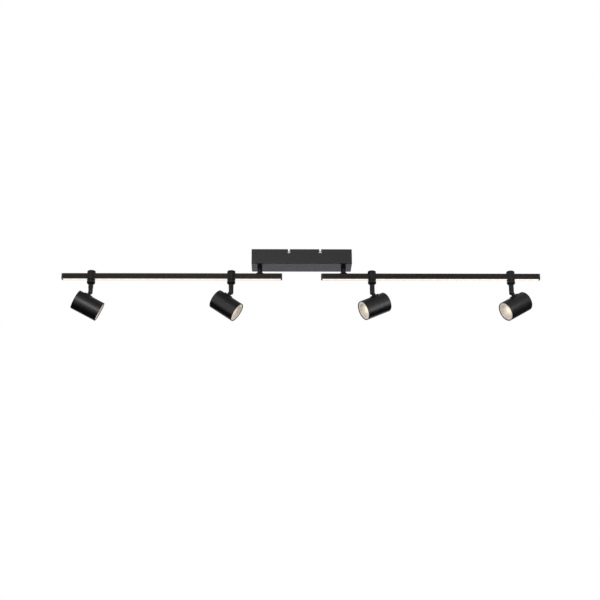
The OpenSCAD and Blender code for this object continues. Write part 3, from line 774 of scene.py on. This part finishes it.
def stem(spot):
    place = swivel_frame(spot)
    low, high = extent(f"spot{spot}_stem", place)
    radius = high.y
    under_collar = 0.3
    shoulder = extent(f"{side_of(spot)}_hub_collars")[0].z - under_collar - place.translation.z
    neck_r, flange_r, flange_t = 4.0, 5.7, 1.6
    profile = rounded([
        (low.z - 1, 0), (low.z - 1, radius), (shoulder, radius, 0.8), (shoulder, neck_r),
        (high.z - flange_t, neck_r), (high.z - flange_t, flange_r), (high.z, flange_r, 0.2),
        (high.z, 0)], closed=False)
    bullet = arc((0, 0), radius, 180, 360, 40)
    bullet += [Vector((radius + 1, high.z + 1)), Vector((-radius - 1, high.z + 1))]
    keep = placed(prism(bullet, -2 * radius, 2 * radius), Matrix.Rotation(math.radians(90), 4, "X"))
    fork = block((-2 * radius, -FORK_SLOT_W / 2, -2 * radius), (2 * radius, FORK_SLOT_W / 2, FORK_SLOT_TOP))
    pin_hole = placed(rod(PIN_R + PLAY, -2 * radius, 2 * radius), Z_TO_Y)
    sink_r, sink_depth, lead_bore_r = 3.4, 1.3, 2.2
    sinks = [
        placed(rod(sink_r, radius - sink_depth, radius + 2), Matrix.Rotation(math.radians(turn), 4, "X"))
        for turn in (90, -90)]
    lead_bore = rod(lead_bore_r, 0, high.z + 1)
    body = cut(shared(turned(profile), keep), fork, lead_bore, pin_hole, *sinks)
    visual(f"spot{spot}_stem", placed(bevelled(body, 0.25), place), JOINT_COAT)


def hinge_pin(spot):
    place = swivel_frame(spot)
    low, high = extent(f"spot{spot}_hinge_pin", place)
    head_r, head_t = 3.2, 1.1
    profile = rounded([
        (low.y, 0), (low.y, head_r, 0.5), (low.y + head_t, head_r, 0.1), (low.y + head_t, PIN_R),
        (high.y - head_t, PIN_R), (high.y - head_t, head_r, 0.1), (high.y, head_r, 0.5),
        (high.y, 0)], closed=False)
    key, key_depth = 2.5, 0.9
    sockets = [
        prism(hex_outline(key), low.y - 1, low.y + key_depth),
        prism(hex_outline(key), high.y - key_depth, high.y + 1)]
    pin = bevelled(cut(turned(profile, 48), *sockets), 0.08)
    visual(f"spot{spot}_hinge_pin", placed(pin, place @ Z_TO_Y))


def knuckle(spot):
    place = head_frame(spot)
    pivot = extent(f"spot{spot}_knuckle", place)[1].z - EYE_R
    radius = extent(f"spot{spot}_can", place)[1].y
    foot_l, foot_w, foot_t = FOOT
    half = SHANK_W / 2
    meet = math.degrees(math.acos(half / EYE_R))
    eye = arc((0, pivot), EYE_R, -meet, 180 + meet, 40)
    outline = [Vector((half, radius - 2)), *eye, Vector((-half, radius - 2))]
    upright = Matrix.Rotation(math.radians(90), 4, "X")
    shank = placed(prism(outline, -KNUCKLE_T / 2, KNUCKLE_T / 2), upright)
    plate = prism(round_rect(foot_l, foot_w, 3), radius - 4, radius + foot_t + 1)
    over = placed(rod(radius + foot_t, -foot_l, foot_l, 160), Z_TO_X)
    can_space = placed(rod(radius + PLAY, -2 * foot_l, 2 * foot_l, 160), Z_TO_X)
    pin_hole = placed(rod(PIN_R + PLAY, -10, 10), Matrix.Translation((0, 0, pivot)) @ Z_TO_Y)
    body = cut(united(shared(plate, over), shank), can_space, pin_hole)
    visual(f"spot{spot}_knuckle", placed(bevelled(body, 0.35), place), JOINT_COAT)


def can(spot):
    place = head_frame(spot)
    low, high = extent(f"spot{spot}_can", place)
    radius = high.y
    profile = rounded([
        (low.x, 0), (low.x, radius, 2.6), (high.x, radius, 0.5), (high.x, radius - CAN_WALL, 0.3),
        (low.x + CAN_BACK, radius - CAN_WALL, 1.6), (low.x + CAN_BACK, 0)], closed=False)
    visual(f"spot{spot}_can", placed(turned(profile, 160), place @ Z_TO_X))


LENS_R = 23.0
SHELL_R = 25.0
SHELL_NECK = 11.5
RING_T = 2.4
LENS_SEAT = 3.6
LAMP_PIN_L = 7
LAMP_PIN_ASIDE = 5


def lamp(spot):
    place = head_frame(spot)
    low, high = extent(f"spot{spot}_lamp", place)
    face, radius = high.x, high.y
    base = low.x + LAMP_PIN_L
    opening = LENS_R + 0.1
    profile = rounded([
        (base, 0), (base, 10.5, 0.6), (base + 14, SHELL_NECK, 0.8), (base + 18, 14, 1.5),
        (face - 12, 23.4, 2), (face - 9, SHELL_R, 1.5), (face - RING_T, SHELL_R),
        (face - RING_T, radius, 0.3), (face, radius, 0.8), (face, opening, 0.4),
        (face - LENS_SEAT, opening), (face - 24, 12), (face - 24, 0)], closed=False)
    knob_r, knob_l, pin_r = 2.4, 2.4, 1.5
    outline = rounded([
        (low.x, 0), (low.x, knob_r, 0.3), (low.x + knob_l, knob_r, 0.3), (low.x + knob_l, pin_r),
        (base + 1, pin_r), (base + 1, 0)], closed=False)
    pins = [
        placed(turned(outline, 32), Z_TO_X @ Matrix.Translation((0, aside, 0)))
        for aside in (-LAMP_PIN_ASIDE, LAMP_PIN_ASIDE)]
    shell = united(placed(turned(profile, 120), Z_TO_X), *pins)
    visual(f"spot{spot}_lamp", placed(shell, place))


# Radius and depth of the lines between the rows of facets, from the rim down to the window
FACET_ROWS = ((21.4, 0.2), (17.6, 3.4), (13.6, 6.0), (9.8, 7.8), (6.4, 8.9))
ROW_GLOW = (0.2, 0.34, 0.56, 0.8)
GLOW_SCATTER = 0.22
RIM_GLOW = 0.35
WINDOW_GLOW = 1.0
FACETS = 28
FACET_STEPS = 3
BULGE = 0.4


def facet_glow(row, column):
    """Share of the light that a facet shows: brighter inwards, with a scatter that is always the same."""
    # The last digits of a steep sine look random from 0 to 1
    scatter = math.sin(12.9898 * (row + 1) + 78.233 * (column + 1)) * 43758.5453
    scatter -= math.floor(scatter)
    return ROW_GLOW[row] + GLOW_SCATTER * (scatter - 0.5)


def lamp_lens(spot):
    """The lamp's optic: a rim, a dish of bulged facets, and the lit window at its bottom."""
    place = head_frame(spot)
    low, high = extent(f"spot{spot}_lamp_lens", place)
    front, back = high.x, low.x
    sides = FACETS * FACET_STEPS
    rings = []

    def ring(depth, radius, bulge=0.0):
        points = []
        for k in range(sides):
            a = 2 * math.pi * k / sides
            hump = math.sin(math.pi * (k % FACET_STEPS) / FACET_STEPS)
            points.append((depth + bulge * hump, radius * math.cos(a), radius * math.sin(a)))
        rings.append(points)

    cup = front - 13
    rings.append([(cup, 0, 0)])
    outside = (
        (cup, 8), (back, LENS_R - 0.3), (back + 0.3, LENS_R), (front - 0.5, LENS_R), (front, LENS_R - 0.5))
    for depth, radius in outside:
        ring(depth, radius)
    for (r0, d0), (r1, d1) in zip(FACET_ROWS, FACET_ROWS[1:]):
        for s in range(FACET_STEPS):
            t = s / FACET_STEPS
            ring(front - d0 - (d1 - d0) * t, r0 + (r1 - r0) * t, BULGE * math.sin(math.pi * t))
    window_r, window = FACET_ROWS[-1]
    for share, rise in ((1, 0), (0.8, 0.5), (0.5, 1.1), (0.22, 1.4)):
        ring(front - window + rise, window_r * share)
    rings.append([(front - window + 1.5, 0, 0)])
    shape = skin(rings)
    layer = shape.faces.layers.float.new("glow")
    for face in shape.faces:
        middle = face.calc_center_median()
        radius = math.hypot(middle.y, middle.z)
        column = int(math.atan2(middle.z, middle.y) / (2 * math.pi) * FACETS) + FACETS
        in_dish = middle.x > front - window - 0.1
        face[layer] = RIM_GLOW
        for row, (outer, inner) in enumerate(zip(FACET_ROWS, FACET_ROWS[1:])):
            if inner[0] < radius <= outer[0] and in_dish:
                face[layer] = facet_glow(row, column)
        if radius <= window_r and in_dish:
            face[layer] = WINDOW_GLOW
    visual(f"spot{spot}_lamp_lens", placed(shape, place))


# ---- Assembly ----

EDGE_RADII = {"ceiling_bracket": 0.25, "terminal_block": 0.3, "led_driver": 0.5, "cable_bush": 0.3}
ARM_PIECES = (post, post_nut, rail, rail_end_caps, diffusers, hub_caps, hub_bodies, hub_collars, hub_screws)
SPOT_PIECES = (stem, hinge_pin, knuckle, can, lamp, lamp_lens)

canopy_cover()
locking_screws()
post_bushes()
for node, width in EDGE_RADII.items():
    softened(node, width)
for side in SIDES:
    for make in ARM_PIECES:
        make(side)
for spot in SPOTS:
    for make in SPOT_PIECES:
        make(spot)
# The nodes that stay as they are, such as the leads, get their finish too
for node, obj in frame["nodes"].items():
    obj.data.materials.clear()
    obj.data.materials.append(MATERIALS[SLOT_OF[node]])


# ---- Studio, in metres ----

FLOOR_DROP = 2.0
FLOOR_RADIUS = 30.0


def floor():
    """A plain, evenly pale floor far under the object, seen but not mirrored."""
    below = (0, 0, -FLOOR_DROP)
    bpy.ops.mesh.primitive_circle_add(vertices=96, radius=FLOOR_RADIUS, fill_type="NGON", location=below)
    obj = bpy.context.object
    obj.name = "studio_floor"
    finish = Finish("pale_floor", (0, 0, 0), 0.9, Specular_IOR_Level=0, Emission_Strength=0.88)
    finish.put("Emission Color", (1, 1, 1, 1))
    obj.data.materials.append(finish.material)
    obj.visible_glossy = False
    obj.visible_diffuse = False


# Brightness of the surroundings by the height of the direction, where -1 is straight down and 1 straight up
SKY_BLUE = 1.03
SKY = ((-0.71, 0.01), (-0.3, 0.012), (-0.2, 0.06), (-0.12, 0.18), (-0.03, 0.42), (0.08, 0.6),
       (0.3, 0.74), (0.47, 0.74), (0.6, 0.38), (0.75, 0.26), (0.88, 0.2))


def studio_world():
    """White to the camera, and to everything else a soft sky over a dark ground."""
    world = bpy.data.worlds.new("studio")
    bpy.context.scene.world = world
    world.use_nodes = True
    tree = world.node_tree
    nodes, links = tree.nodes, tree.links
    nodes.clear()
    output = nodes.new("ShaderNodeOutputWorld")
    mix = nodes.new("ShaderNodeMixShader")
    seen = nodes.new("ShaderNodeBackground")
    seen.inputs["Color"].default_value = (1, 1, 1, 1)
    light = nodes.new("ShaderNodeBackground")
    ray = nodes.new("ShaderNodeLightPath")
    where = nodes.new("ShaderNodeTexCoord")
    split = nodes.new("ShaderNodeSeparateXYZ")
    ramp = nodes.new("ShaderNodeValToRGB")
    rise = nodes.new("ShaderNodeMapRange")
    links.new(where.outputs["Generated"], split.inputs["Vector"])
    links.new(split.outputs["Z"], rise.inputs["Value"])
    rise.inputs["From Min"].default_value = -1
    rise.inputs["From Max"].default_value = 1
    links.new(rise.outputs["Result"], ramp.inputs["Fac"])
    stops = ramp.color_ramp.elements
    while len(stops) < len(SKY):
        stops.new(0.5)
    for stop, (height, level) in zip(stops, SKY):
        stop.position = (height + 1) / 2
        stop.color = (level, level, level * SKY_BLUE, 1)
    links.new(ramp.outputs["Color"], light.inputs["Color"])
    links.new(ray.outputs["Is Camera Ray"], mix.inputs["Fac"])
    links.new(light.outputs["Background"], mix.inputs[1])
    links.new(seen.outputs["Background"], mix.inputs[2])
    links.new(mix.outputs["Shader"], output.inputs["Surface"])


def softbox(name, at, towards, size, power, colour=(1, 1, 1)):
    """An area light that the camera doesn't see."""
    light = bpy.data.lights.new(name, "AREA")
    light.shape = "RECTANGLE"
    light.size, light.size_y = size
    light.energy = power
    light.color = colour
    obj = bpy.data.objects.new(name, light)
    obj.location = at
    obj.rotation_euler = (Vector(towards) - Vector(at)).to_track_quat("-Z", "Y").to_euler()
    obj.visible_camera = False
    bpy.context.scene.collection.objects.link(obj)


def camera():
    """Below the object and looking up at it, at the photograph's angle."""
    distance, lens = 3.45, 71.17
    rise, yaw, roll = math.radians(19.3), math.radians(1.15), math.radians(-0.319)
    aside, up = -0.0052, 0.0005
    low, high = cad_box
    target = Vector(((low.x + high.x) / 2 + aside, 0, low.z * 0.7 + up))
    ahead = Vector((math.sin(yaw) * math.cos(rise), math.cos(yaw) * math.cos(rise), math.sin(rise)))
    data = bpy.data.cameras.new("camera")
    data.sensor_width = 36
    data.lens = lens
    obj = bpy.data.objects.new("camera", data)
    obj.location = target - ahead * distance
    turn = ahead.to_track_quat("-Z", "Y").to_matrix() @ Matrix.Rotation(roll, 3, "Z")
    obj.rotation_euler = turn.to_euler()
    bpy.context.scene.collection.objects.link(obj)
    bpy.context.scene.camera = obj


floor()
studio_world()
softbox("key_front", (-0.42, -3.0, -0.42), (-0.634, 0, -0.16), (0.8, 2.0), 29)
softbox("key_right", (0.704, -0.333, -0.29), (0.225, 0, -0.16), (0.3, 0.44), 1.25)
softbox("fill_left", (-1.93, -1.7, -0.84), (-0.233, 0, -0.156), (1.7, 1.7), 10.5)
softbox("top_right", (0.92, -0.45, 0.86), (0.43, 0, -0.16), (1.0, 1.0), 0.6)
softbox("backdrop_glow", (0, 4.0, -1.5), (0, 0, -0.1), (5, 1.2), 23, (0.9, 0.88, 1))
camera()
bpy.context.scene.view_settings.view_transform = "Standard"

bpy.context.view_layer.update()
